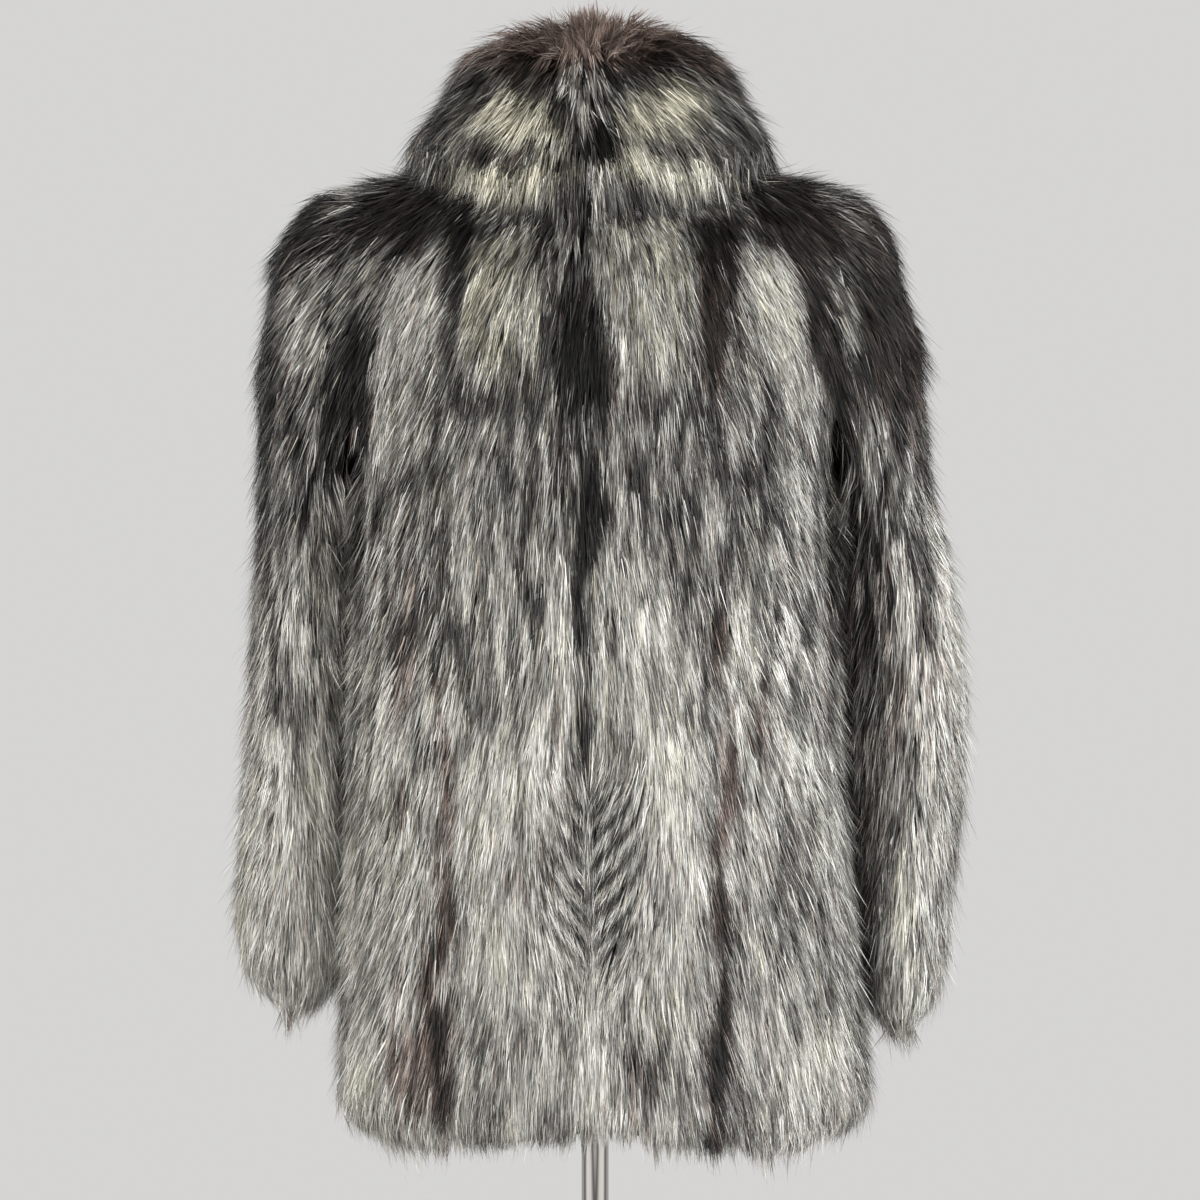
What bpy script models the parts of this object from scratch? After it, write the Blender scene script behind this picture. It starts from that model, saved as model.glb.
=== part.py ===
"""Fox fur coat worn by a limbless dress form on a pole stand.

Metres, +Z up.  The origin is on the floor, at the centre of the stand's base.  The coat's front
faces -Y and its back +Y, so the wearer's left is +X.

The coat is a hollow garment: each panel is a wall as thick as the skin with its lying pile, cut at
the seams a furrier would sew.  Every panel of the body comes from one surface, torso(), which is
read twice, at the pile's tips and at the skin.  The sleeves are tubes that start on the armhole
rings, and the collar is a stand with a turned-down fall.
"""

import math

import bmesh
import bpy
import numpy as np

# ---- Driving dimensions ------------------------------------------------------------------------
SEAM_GAP = 0.0003  # between pieces sewn together
PILE = 0.024  # skin and lying pile of the body
SLEEVE_PILE = 0.020
HEM_Z = 0.630
UNDERARM_Z = 1.150
SHOULDER_Z = 1.385  # top of the fur at the shoulder point
NECK_SIDE_Z = 1.400  # top of the fur where the shoulder seam meets the neck
ARM_X = 0.190  # plane of the armholes
ARM_DEPTH = 0.088  # half the armhole's width, front to back
ARM_REACH = 2.5  # power by which the armhole's shape fades towards the middle of the body
ARM_BLEND = 3  # power of the sum that blends it with the yoke
NECK_X = 0.075  # half the neckline's width
SECTION_POWER = 2.4  # superellipse power of the body's horizontal sections

# Outline of the body's sections from the hem to the underarm.  The coat hangs a little aslant, so
# each section has its own middle.
BODY_COLUMNS = ("z", "middle_x", "half_width", "back", "front")
BODY_SECTIONS = (
    (0.630, -0.0085, 0.2140, 0.150, 0.148),
    (0.700, -0.0060, 0.2095, 0.149, 0.148),
    (0.800, -0.0030, 0.2030, 0.145, 0.147),
    (0.950, 0.0000, 0.1960, 0.141, 0.146),
    (1.080, 0.0000, 0.1910, 0.138, 0.148),
    (1.150, 0.0000, 0.1897, 0.137, 0.150),
)

# How the back and the front differ: side is the sign of y, power rounds the shoulders over.
FACES = {
    "back": {"side": 1, "column": "back", "power": 2.8, "neck": 0.062},
    "front": {"side": -1, "column": "front", "power": 1.9, "neck": 0.085},
}

# Flutes that hang in the pile below folds and seams: where, how deep, how wide, where each starts.
FLUTE_COLUMNS = ("face", "x", "depth", "width", "top_z")
FLUTES = (
    ("back", 0.108, 0.010, 0.016, 1.02),
    ("back", -0.097, 0.012, 0.015, 1.05),
    ("back", 0.172, 0.004, 0.012, 0.90),
    ("back", -0.166, 0.005, 0.012, 0.86),
    ("back", 0.010, 0.003, 0.020, 0.82),
    ("front", 0.104, 0.009, 0.016, 1.00),
    ("front", -0.110, 0.008, 0.017, 0.96),
    ("front", 0.000, 0.007, 0.012, 1.24),
    ("front", 0.160, 0.004, 0.012, 0.88),
    ("front", -0.168, 0.005, 0.012, 0.92),
)
BACK_SEAM = {"left": 0.565, "right": -0.515}  # share of the half width, at the pelt seams
SKEW = 1.8  # the pelt seams run aslant through the wall, so they are cut this much wider
NECK_COLUMNS = (0.18, 0.45, 0.72, 0.90, 0.97, 1.0)  # shares of the neckline's half width
COLUMN_SPACE = 0.040  # closest that another column comes to one of these
HEM_RISE = 0.013  # how much higher the hem is at the middle of the back
HEM_RISE_WIDTH = 0.070
FLUTE_RISE = 0.5  # share of a flute's depth by which it lifts the hem

# Rows of each body panel: 0 is the hem, 1 the underarm and 2 the shoulder seam or neckline.
# The share is how much of the wall's thickness is left where the pile rounds off at the hem.
HEM_ROWS = ((0.000, 0.30), (0.014, 0.74), (0.040, 1.0))
BODY_ROWS = (0.14, 0.28, 0.43, 0.58, 0.72, 0.86, 1.0)
YOKE_DEGREES = (25, 52, 80, 106, 130, 152, 168, 180)

# Sleeve rings that turn about the underarm, from the armhole to the level ring below it.
BEND_COLUMNS = ("degrees", "reach", "half_depth", "y")
BEND_SECTIONS = (
    (0, SHOULDER_Z - UNDERARM_Z, ARM_DEPTH, 0.000),
    (8, 0.230, 0.0885, 0.000),
    (17, 0.206, 0.089, -0.001),
    (29, 0.157, 0.089, -0.003),
    (44, 0.115, 0.088, -0.006),
    (60, 0.090, 0.087, -0.009),
    (90, 0.080, 0.086, -0.013),
)
UNDERARM_DROP = 0.012  # the crease at the underarm goes down this much over the bend
SLEEVE_CLEARANCE = 0.0035  # between the hanging sleeve and the body's side
# Level sleeve rings, from the underarm to the cuff.
HANG_COLUMNS = ("share", "outer_x", "y", "half_depth")
HANG_SECTIONS = (
    (0.08, 0.2760, -0.015, 0.087),
    (0.20, 0.2810, -0.018, 0.088),
    (0.38, 0.2840, -0.021, 0.088),
    (0.58, 0.2870, -0.025, 0.089),
    (0.76, 0.2925, -0.030, 0.090),
    (0.88, 0.2925, -0.033, 0.088),
)
# The cuff's rounded pile: height above its lowest point, and how far the outline draws in.
CUFF_ROWS = ((0.030, 0.0020), (0.012, 0.0075), (0.003, 0.0125), (0.000, 0.0165))
# Splay moves a sleeve's outer edge halfway down; lean, at the bend of its head.
SLEEVES = {
    "left": {"sign": 1, "cuff_z": 0.712, "splay": 0.000, "lean": 0.004},
    "right": {"sign": -1, "cuff_z": 0.694, "splay": 0.005, "lean": -0.004},
}
SLEEVE_POINTS = 20

# The collar's profile is measured outwards from the neckline.
STAND_TOP_Z = 1.4680
STAND_OUT = 0.003
STAND_IN = -0.011
STAND_SEAT = 0.0012  # the stand's foot above the neckline, because both are faceted
STAND_END_DEGREES = 3.0  # from the centre front
FALL_END_DEGREES = 4.0
FALL_TOP_Z = 1.500
FALL_WALL = 0.024
FALL_SHIFT = 0.003  # the fall lies a little over to the left
COLLAR_POINTS = 33
# Where the fall's edge lies: azimuth from the back, distance from the neckline and height.
FALL_COLUMNS = ("degrees", "out", "z")
FALL_EDGE = (
    (0, 0.072, 1.352),
    (30, 0.076, 1.360),
    (60, 0.078, 1.384),
    (90, 0.076, 1.400),
    (120, 0.074, 1.386),
    (150, 0.068, 1.346),
    (176, 0.060, 1.318),
)

# The dress form: a general figure, with rings from the hip to the top of the neck.
FORM_COLUMNS = ("z", "half_width", "back", "front")
FORM_SECTIONS = (
    (0.800, 0.138, 0.088, 0.082),
    (0.812, 0.151, 0.098, 0.092),
    (0.860, 0.160, 0.104, 0.097),
    (0.930, 0.152, 0.097, 0.093),
    (1.010, 0.127, 0.080, 0.084),
    (1.080, 0.134, 0.084, 0.097),
    (1.150, 0.145, 0.091, 0.114),
    (1.200, 0.149, 0.093, 0.112),
    (1.270, 0.151, 0.086, 0.090),
    (1.315, 0.150, 0.072, 0.068),
    (1.338, 0.134, 0.062, 0.058),
    (1.354, 0.108, 0.057, 0.053),
    (1.368, 0.080, 0.053, 0.051),
    (1.388, 0.058, 0.050, 0.052),
    (1.420, 0.054, 0.049, 0.052),
    (1.444, 0.053, 0.048, 0.052),
    (1.452, 0.049, 0.044, 0.048),
)
FORM_LIFT = 0.0010  # brings the form's shoulders up to the coat that hangs on them
FORM_POINTS = 26

FLANGE_RADIUS, FLANGE_HEIGHT = 0.045, 0.005
POLE_RADIUS = 0.011
BOSS_RADIUS, BOSS_HEIGHT = 0.021, 0.024
BASE_RADIUS, BASE_HEIGHT, BASE_EDGE = 0.150, 0.008, 0.002
ROUND_POINTS = 32

FUR_GREY = (0.27, 0.26, 0.25)
FORM_BLACK = (0.025, 0.024, 0.026)
CHROME = (0.72, 0.73, 0.74)


# ---- Small helpers -----------------------------------------------------------------------------
def column(table, names, name):
    """One named column of a table of rows."""
    return np.array([row[names.index(name)] for row in table], float)


def read(table, names, name, at):
    """A column's value between the rows, by the table's first column."""
    return float(np.interp(at, column(table, names, names[0]), column(table, names, name)))


def material(name, colour, roughness, metallic=0.0):
    made = bpy.data.materials.new(name)
    made.use_nodes = True
    shader = made.node_tree.nodes["Principled BSDF"]
    shader.inputs["Base Color"].default_value = (*colour, 1.0)
    shader.inputs["Roughness"].default_value = roughness
    shader.inputs["Metallic"].default_value = metallic
    return made


def add_object(name, mesh_data, finish):
    mesh_data.materials.append(finish)
    made = bpy.data.objects.new(name, mesh_data)
    bpy.context.scene.collection.objects.link(made)
    return made


def wall(name, outer, inner, finish, ring=False):
    """A solid wall between two grids of points, [row][place].  A ring closes on itself."""
    bm = bmesh.new()
    skins = [[[bm.verts.new(p) for p in row] for row in grid] for grid in (outer, inner)]
    rows, places = len(outer), len(outer[0])
    steps = places if ring else places - 1
    for skin in skins:
        for i in range(rows - 1):
            for j in range(steps):
                k = (j + 1) % places
                bm.faces.new((skin[i][j], skin[i][k], skin[i + 1][k], skin[i + 1][j]))
    out, back = skins
    for i in (0, rows - 1):
        for j in range(steps):
            k = (j + 1) % places
            bm.faces.new((out[i][j], out[i][k], back[i][k], back[i][j]))
    if not ring:
        for j in (0, places - 1):
            for i in range(rows - 1):
                bm.faces.new((out[i][j], out[i + 1][j], back[i + 1][j], back[i][j]))
    bmesh.ops.triangulate(bm, faces=bm.faces, quad_method="SHORT_EDGE")
    bmesh.ops.recalc_face_normals(bm, faces=bm.faces)
    data = bpy.data.meshes.new(name)
    bm.to_mesh(data)
    bm.free()
    return add_object(name, data, finish)


def turned(name, profile, finish, points=ROUND_POINTS):
    """A solid turned about the pole's axis from (radius, z) pairs, closed along the axis or a bore."""
    closed = profile[0][0] > 0 and profile[-1][0] > 0
    bm = bmesh.new()
    rings = []
    for radius, z in profile:
        if radius == 0:
            rings.append([bm.verts.new((0, 0, z))] * points)
            continue
        turns = [2 * math.pi * k / points for k in range(points)]
        rings.append([bm.verts.new((radius * math.cos(t), radius * math.sin(t), z)) for t in turns])
    pairs = list(zip(rings, rings[1:]))
    if closed:
        pairs.append((rings[-1], rings[0]))
    for low, high in pairs:
        for j in range(points):
            k = (j + 1) % points
            corners = dict.fromkeys((low[j], low[k], high[k], high[j]))
            bm.faces.new(tuple(corners))
    bmesh.ops.recalc_face_normals(bm, faces=bm.faces)
    data = bpy.data.meshes.new(name)
    bm.to_mesh(data)
    bm.free()
    return add_object(name, data, finish)


# ---- The body of the coat ----------------------------------------------------------------------
def rounded(share, power):
    """The other coordinate of a superellipse of half size 1."""
    return max(0.0, 1.0 - min(1.0, abs(share)) ** power) ** (1.0 / power)


def flute_depth(face, x, z):
    """How far the pile sinks at a point of the outer surface."""
    depth = 0.0
    for row in FLUTES:
        flute = dict(zip(FLUTE_COLUMNS, row))
        if flute["face"] != face or z > flute["top_z"]:
            continue
        grown = min(1.0, (flute["top_z"] - z) / 0.25)
        depth += flute["depth"] * grown * math.exp(-(((x - flute["x"]) / flute["width"]) ** 2))
    return depth


def hem_height(face, x):
    lift = HEM_RISE * math.exp(-((x / HEM_RISE_WIDTH) ** 2)) if face == "back" else 0.0
    return HEM_Z + lift + FLUTE_RISE * flute_depth(face, x, HEM_Z)


def ridge_height(x):
    """The top of the shoulder, from the shoulder point in to the neck."""
    share = (ARM_X - abs(x)) / (ARM_X - NECK_X)
    return SHOULDER_Z + (NECK_SIDE_Z - SHOULDER_Z) * min(1.0, share)


def neckline_y(face, x):
    share = min(1.0, abs(x) / NECK_X)
    return FACES[face]["neck"] * math.sqrt(1.0 - share**2)


def yoke_end(face, u, depth):
    """How far up the yoke a column runs, where it meets the neckline: 1 is the shoulder seam."""
    x = u * ARM_X
    if abs(x) >= NECK_X:
        return 1.0
    reach = depth * rounded(u, SECTION_POWER)
    return rounded(neckline_y(face, x) / reach, FACES[face]["power"])


def torso(face, u, v, inset):
    """A point of the body, inset below the pile's tips.

    u runs from -1 at the wearer's right side to 1 at the left; v is 0 at the hem, 1 at the
    underarm and 2 at the shoulder seam or the neckline."""
    facts = FACES[face]
    turn_z = UNDERARM_Z + inset
    across = rounded(u, SECTION_POWER)
    if v <= 1.0:
        low_z = hem_height(face, u * ARM_X)
        z = low_z + v * (turn_z - low_z)
        half_width = read(BODY_SECTIONS, BODY_COLUMNS, "half_width", z) - inset
        depth = read(BODY_SECTIONS, BODY_COLUMNS, facts["column"], z) - inset
        x, y = u * half_width, depth * across
        if inset == 0:
            sink = flute_depth(face, x, z)
            lean_x = abs(u) ** (SECTION_POWER - 1) / half_width
            lean_y = across ** (SECTION_POWER - 1) / depth
            size = math.hypot(lean_x, lean_y)
            x -= math.copysign(sink * lean_x / size, x)
            y -= sink * lean_y / size
        x += read(BODY_SECTIONS, BODY_COLUMNS, "middle_x", z)
    else:
        depth = read(BODY_SECTIONS, BODY_COLUMNS, facts["column"], UNDERARM_Z) - inset
        turn = math.pi * (v - 1.0)
        rise = yoke_end(face, u, depth) * (1.0 - math.cos(turn)) / 2
        step_in = inset * max(0.0, 1.0 - (v - 1.0) / 0.1)
        x = u * (ARM_X - SEAM_GAP - step_in)
        z = turn_z + (ridge_height(x) - inset - turn_z) * rise
        ring_y = (ARM_DEPTH - inset) * math.sin(turn) * abs(u) ** ARM_REACH
        yoke_y = depth * rounded(rise, facts["power"]) * across
        y = (ring_y**ARM_BLEND + yoke_y**ARM_BLEND) ** (1 / ARM_BLEND)
    return (x, facts["side"] * max(y, SEAM_GAP / 2), z)


def share_at(degrees):
    """Columns are even in angle round the superellipse, so that the sides get enough of them."""
    return math.copysign(abs(math.sin(math.radians(degrees))) ** (2 / SECTION_POWER), degrees)


def degrees_at(share):
    return math.copysign(math.degrees(math.asin(abs(share) ** (SECTION_POWER / 2))), share)


def columns_between(low, high, count):
    """Shares of the half width from low to high, with more of them along the neckline's curve."""
    even = [share_at(a) for a in np.linspace(degrees_at(low), degrees_at(high), count)]
    neck = [side * share * NECK_X / ARM_X for side in (-1, 1) for share in NECK_COLUMNS]
    neck = [u for u in neck if low + COLUMN_SPACE < u < high - COLUMN_SPACE]
    inside = [u for u in even[1:-1] if all(abs(u - other) > COLUMN_SPACE for other in neck)]
    return sorted([low, high, *neck, *inside])


def body_panel(name, face, shares, finish):
    outer, inner = [], []
    for v, left in HEM_ROWS:
        skin = [torso(face, u, v + 0.006, PILE) for u in shares]
        tips = [torso(face, u, v, 0.0) for u in shares]
        inner.append(skin)
        outer.append([tuple(s + (t - s) * left for s, t in zip(a, b)) for a, b in zip(skin, tips)])
        outer[-1] = [(*p[:2], t[2]) for p, t in zip(outer[-1], tips)]
    for v in (*BODY_ROWS, *(1 + a / 180 for a in YOKE_DEGREES)):
        inner.append([torso(face, u, v, PILE) for u in shares])
        outer.append([torso(face, u, v, 0.0) for u in shares])
    return wall(name, outer, inner, finish)


def build_body(finish):
    gap = SEAM_GAP / 2 / ARM_X
    left, right = BACK_SEAM["left"], BACK_SEAM["right"]
    panels = (
        ("back_middle", "back", right + SKEW * gap, left - SKEW * gap, 10),
        ("back_left", "back", left + SKEW * gap, 1.0, 7),
        ("back_right", "back", -1.0, right - SKEW * gap, 7),
        ("front_left", "front", gap, 1.0, 11),
        ("front_right", "front", -1.0, -gap, 11),
    )
    for name, face, low, high, count in panels:
        body_panel(name, face, columns_between(low, high, count), finish)


# ---- Sleeves -----------------------------------------------------------------------------------
def bend_ring(row, inset, sign, lean):
    """A ring of the sleeve's head, in a plane through the underarm."""
    bend = dict(zip(BEND_COLUMNS, row))
    angle = math.radians(bend["degrees"])
    share = bend["degrees"] / 90
    foot_x = ARM_X + SLEEVE_CLEARANCE * share
    foot_z = UNDERARM_Z - UNDERARM_DROP * share
    half = (bend["reach"] + lean * math.sin(angle)) / 2
    ring = []
    for k in range(SLEEVE_POINTS):
        turn = 2 * math.pi * k / SLEEVE_POINTS
        along = half - (half - inset) * math.cos(turn)
        x = foot_x + along * math.sin(angle)
        y = bend["y"] + (bend["half_depth"] - inset) * math.sin(turn)
        z = foot_z + along * math.cos(angle)
        ring.append((sign * x, y, z))
    return ring


def hang_ring(z, outer_x, y, half_depth, inset, sign):
    """A level ring of the hanging sleeve, which lies along the body's side."""
    middle_x = read(BODY_SECTIONS, BODY_COLUMNS, "middle_x", z)
    half_width = read(BODY_SECTIONS, BODY_COLUMNS, "half_width", z)
    inner_x = half_width + sign * middle_x + SLEEVE_CLEARANCE
    middle, half = (outer_x + inner_x) / 2, (outer_x - inner_x) / 2
    ring = []
    for k in range(SLEEVE_POINTS):
        turn = 2 * math.pi * k / SLEEVE_POINTS
        x = middle - (half - inset) * math.cos(turn)
        ring.append((sign * x, y + (half_depth - inset) * math.sin(turn), z))
    return ring


def build_sleeve(side, finish):
    facts = SLEEVES[side]
    sign, cuff_z = facts["sign"], facts["cuff_z"]
    outer = [bend_ring(row, 0.0, sign, facts["lean"]) for row in BEND_SECTIONS]
    inner = [bend_ring(row, SLEEVE_PILE, sign, facts["lean"]) for row in BEND_SECTIONS]
    top_z = UNDERARM_Z - UNDERARM_DROP

    def add_level(z, draw_in):
        share = (top_z - z) / (top_z - cuff_z)
        outer_x, y, half_depth = (
            read(HANG_SECTIONS, HANG_COLUMNS, name, share) for name in HANG_COLUMNS[1:]
        )
        outer_x += facts["splay"] * math.sin(math.pi * share * 0.8)
        outer_x += facts["lean"] * max(0.0, 1.0 - share / 0.3)
        outer.append(hang_ring(z, outer_x, y, half_depth, draw_in, sign))
        inner.append(hang_ring(z, outer_x, y, half_depth, SLEEVE_PILE, sign))

    for row in HANG_SECTIONS:
        add_level(top_z - row[0] * (top_z - cuff_z), 0.0)
    for above, draw_in in CUFF_ROWS:
        add_level(cuff_z + above, draw_in)
    return wall(f"sleeve_{side}", outer, inner, finish, ring=True)


# ---- Collar ------------------------------------------------------------------------------------
def neck_point(degrees, out, z):
    """A point at a distance outwards from the neckline; 0 degrees is the centre back."""
    turn = math.radians(degrees)
    face = "back" if math.cos(turn) >= 0 else "front"
    depth = FACES[face]["neck"]
    x, y = NECK_X * math.sin(turn), depth * math.cos(turn)
    lean = (math.sin(turn) / NECK_X, math.cos(turn) / depth)
    size = math.hypot(*lean)
    return (x + out * lean[0] / size, y + out * lean[1] / size, z)


def neckline_z(degrees):
    """The height of the fur along the neckline."""
    turn = math.radians(degrees)
    face = "back" if math.cos(turn) >= 0 else "front"
    u = NECK_X * math.sin(turn) / ARM_X
    depth = read(BODY_SECTIONS, BODY_COLUMNS, FACES[face]["column"], UNDERARM_Z)
    rise = yoke_end(face, u, depth)
    return UNDERARM_Z + (ridge_height(u * ARM_X) - UNDERARM_Z) * rise


def collar_azimuths(end_degrees):
    return np.linspace(-(180 - end_degrees), 180 - end_degrees, COLLAR_POINTS)


def build_collar(finish):
    azimuths = collar_azimuths(STAND_END_DEGREES)
    rows = (0.0, 0.35, 0.7, 1.0)
    grids = []
    for out in (STAND_OUT, STAND_IN):
        grid = []
        for share in rows:
            feet = [neckline_z(a) + STAND_SEAT for a in azimuths]
            heights = [foot + (STAND_TOP_Z - foot) * share for foot in feet]
            grid.append([neck_point(a, out, z) for a, z in zip(azimuths, heights)])
        grids.append(grid)
    wall("collar_stand", grids[0], grids[1], finish)

    azimuths = collar_azimuths(FALL_END_DEGREES)
    seat = STAND_TOP_Z + SEAM_GAP
    outer, inner = [], []
    for a in azimuths:
        edge_out = read(FALL_EDGE, FALL_COLUMNS, "out", abs(a))
        edge_z = read(FALL_EDGE, FALL_COLUMNS, "z", abs(a))
        drop = FALL_TOP_Z - edge_z
        # (outwards, height) of the face that shows, then of the face towards the stand
        shown = (
            (STAND_IN, seat + 0.016),
            (STAND_IN + 0.008, FALL_TOP_Z),
            (0.017, FALL_TOP_Z - 0.002),
            (0.017 + 0.42 * (edge_out - 0.017), FALL_TOP_Z - 0.34 * drop),
            (0.017 + 0.76 * (edge_out - 0.017), FALL_TOP_Z - 0.66 * drop),
            (edge_out, edge_z + 0.014),
            (edge_out - 0.007, edge_z),
        )
        under = (
            (STAND_IN, seat),
            (STAND_IN + 0.006, seat),
            (STAND_OUT + 0.003, seat),
            (STAND_OUT + 0.005, seat - 0.12 * drop),
            (0.30 * edge_out + 0.004, FALL_TOP_Z - 0.58 * drop),
            (edge_out - FALL_WALL, edge_z + 0.022),
            (edge_out - 0.015, edge_z + 0.003),
        )
        for grid, profile in ((outer, shown), (inner, under)):
            points = [neck_point(a, out, z) for out, z in profile]
            lifts = [(seat + STAND_SEAT) < z for _, z in profile]
            grid.append([(x + FALL_SHIFT * lift, y, z) for (x, y, z), lift in zip(points, lifts)])
    wall("collar_fall", outer, inner, finish)


# ---- Dress form and stand ----------------------------------------------------------------------
def build_form(finish):
    bm = bmesh.new()
    rings = []
    for row in FORM_SECTIONS:
        ring = dict(zip(FORM_COLUMNS, row))
        points = []
        for k in range(FORM_POINTS):
            turn = 2 * math.pi * k / FORM_POINTS
            depth = ring["back"] if math.sin(turn) >= 0 else ring["front"]
            x, y = ring["half_width"] * math.cos(turn), depth * math.sin(turn)
            points.append(bm.verts.new((x, y, ring["z"] + FORM_LIFT)))
        rings.append(points)
    for low, high in zip(rings, rings[1:]):
        for j in range(FORM_POINTS):
            k = (j + 1) % FORM_POINTS
            bm.faces.new((low[j], low[k], high[k], high[j]))
    bm.faces.new(rings[0])
    bm.faces.new(rings[-1])
    bmesh.ops.recalc_face_normals(bm, faces=bm.faces)
    data = bpy.data.meshes.new("form_torso")
    bm.to_mesh(data)
    bm.free()
    add_object("form_torso", data, finish)


def build_stand(metal):
    form_z = FORM_SECTIONS[0][0] + FORM_LIFT
    flange_top = form_z - SEAM_GAP
    flange_low = flange_top - FLANGE_HEIGHT
    turned(
        "pole_flange",
        ((0, flange_low), (FLANGE_RADIUS, flange_low), (FLANGE_RADIUS, flange_top), (0, flange_top)),
        metal,
    )
    pole_low, pole_top = BASE_HEIGHT + SEAM_GAP, flange_low - SEAM_GAP
    turned(
        "pole",
        ((0, pole_low), (POLE_RADIUS, pole_low), (POLE_RADIUS, pole_top), (0, pole_top)),
        metal,
    )
    bore = POLE_RADIUS + SEAM_GAP
    boss_top = pole_low + BOSS_HEIGHT
    turned(
        "base_boss",
        (
            (bore, pole_low),
            (BOSS_RADIUS, pole_low),
            (BOSS_RADIUS, boss_top - 0.004),
            (BOSS_RADIUS - 0.004, boss_top),
            (bore, boss_top),
        ),
        metal,
    )
    turned(
        "base_plate",
        (
            (0, 0),
            (BASE_RADIUS, 0),
            (BASE_RADIUS, BASE_HEIGHT - BASE_EDGE),
            (BASE_RADIUS - BASE_EDGE, BASE_HEIGHT),
            (0, BASE_HEIGHT),
        ),
        metal,
    )


def main():
    for old in list(bpy.data.objects):
        bpy.data.objects.remove(old)
    fur = material("fox_fur", FUR_GREY, 0.7)
    build_body(fur)
    for side in SLEEVES:
        build_sleeve(side, fur)
    build_collar(fur)
    build_form(material("form_cloth", FORM_BLACK, 0.8))
    build_stand(material("chrome", CHROME, 0.12, 1.0))


main()
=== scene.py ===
"""Looks of the fox fur coat on its dress form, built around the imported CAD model.

Each panel of the coat becomes two pieces: a thin shell of skin and underfur, and the guard hairs
that stand on it.  The hairs grow from guides, which are traced over the panels' outer faces along
a field of directions.  Their colour comes from a field of light and warmth, and each hair keeps it
in its texture coordinates: u holds the shade and v runs from root to tip.
"""

import math

import bmesh
import bpy
import numpy as np
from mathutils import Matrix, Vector
from mathutils.bvhtree import BVHTree


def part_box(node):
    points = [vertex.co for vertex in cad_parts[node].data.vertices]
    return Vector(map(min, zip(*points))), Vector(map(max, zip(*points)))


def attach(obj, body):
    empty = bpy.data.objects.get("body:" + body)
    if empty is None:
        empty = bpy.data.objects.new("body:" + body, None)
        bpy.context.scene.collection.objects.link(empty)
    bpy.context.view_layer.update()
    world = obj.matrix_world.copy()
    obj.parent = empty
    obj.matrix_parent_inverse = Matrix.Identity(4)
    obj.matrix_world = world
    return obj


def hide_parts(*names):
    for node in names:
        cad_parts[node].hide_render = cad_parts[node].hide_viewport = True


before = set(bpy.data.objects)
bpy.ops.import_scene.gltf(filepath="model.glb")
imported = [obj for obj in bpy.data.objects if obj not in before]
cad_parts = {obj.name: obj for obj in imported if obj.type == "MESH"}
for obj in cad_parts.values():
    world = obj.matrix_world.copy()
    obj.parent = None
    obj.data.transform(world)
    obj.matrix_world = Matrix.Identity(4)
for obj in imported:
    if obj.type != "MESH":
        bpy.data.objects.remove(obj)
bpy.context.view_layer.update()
BOUND = np.array([0.320, 0.167, 1.545])  # no hair stands further out than this
RNG = np.random.default_rng(20)

# ---- Sizes -------------------------------------------------------------------------------------
HEM_Z = 0.630
CUFF_Z = {"sleeve_left": 0.712, "sleeve_right": 0.694}
CREST_Z = 1.486
SHELL_DEPTH = 0.009  # the shell's face below the pile's tips
RAGGED = 0.007  # how far the locks at the hem and the cuffs end above or below it
GUIDE_STEPS = 4
GUIDE_SNAP = 0.009  # a guide further than this from every panel hangs free
EDGE_SLACK = 0.0035  # nor may it slide further than this past a panel's edge
SHARPEST_BEND = 0.55  # cosine of the sharpest turn that a guide follows in one step
SHORTEST = 0.016  # guides that would be shorter are left out
DROOP = {"body": 0.1, "sleeve": 0.1, "collar": 0.35, "stand": 0.0}  # where a guide hangs free
CLUMP = 10  # hairs on each guide
CLUMP_RADIUS = 0.0036
GUARD_SHARE = 0.10  # share of long, fine guard hairs; the rest are wider and lie lower
GUARD_HALF, UNDER_HALF = 0.00032, 0.00052  # half widths of the two kinds
HIDDEN_BY = 0.005  # a face with another panel this close in front of it doesn't show
FOLD_REACH = 0.08  # panels that face each other from nearer than this make a fold
FOLD_OUT = 0.020  # how far the hair stands out of the deepest fold
ARMPIT_Z, ARMPIT_TALL = 1.16, 0.06
ARMPIT_OUT = 0.014  # how much further it stands out at the armpits
ARMPIT_OVER = 0.014  # and how far it closes over each of them, from both sides

# The panels: number and length of hairs, and the flat cut's two sides and area.
FUR_COLUMNS = ("node", "kind", "hairs", "length", "cut", "cut_area")
FUR = (
    ("back_middle", "body", 92000, 0.056, (0.240, 0.780), 0.180),
    ("back_left", "body", 44000, 0.056, (0.160, 0.780), 0.122),
    ("back_right", "body", 48000, 0.056, (0.170, 0.780), 0.130),
    ("front_left", "body", 37000, 0.056, (0.290, 0.780), 0.205),
    ("front_right", "body", 37000, 0.056, (0.290, 0.780), 0.205),
    ("sleeve_left", "sleeve", 64000, 0.054, (0.430, 0.690), 0.220),
    ("sleeve_right", "sleeve", 66000, 0.054, (0.430, 0.710), 0.225),
    ("collar_fall", "collar", 62000, 0.060, (0.620, 0.200), 0.112),
    ("collar_stand", "stand", 7000, 0.030, (0.430, 0.110), 0.043),
)
CREST_HAIRS = 17000
APEX_Z = 1.515  # the collar's hair runs down and out from here
WHORL_X, WHORL_DROP = 0.005, 0.037  # and from a whorl lower down, at the middle of the back

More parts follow.
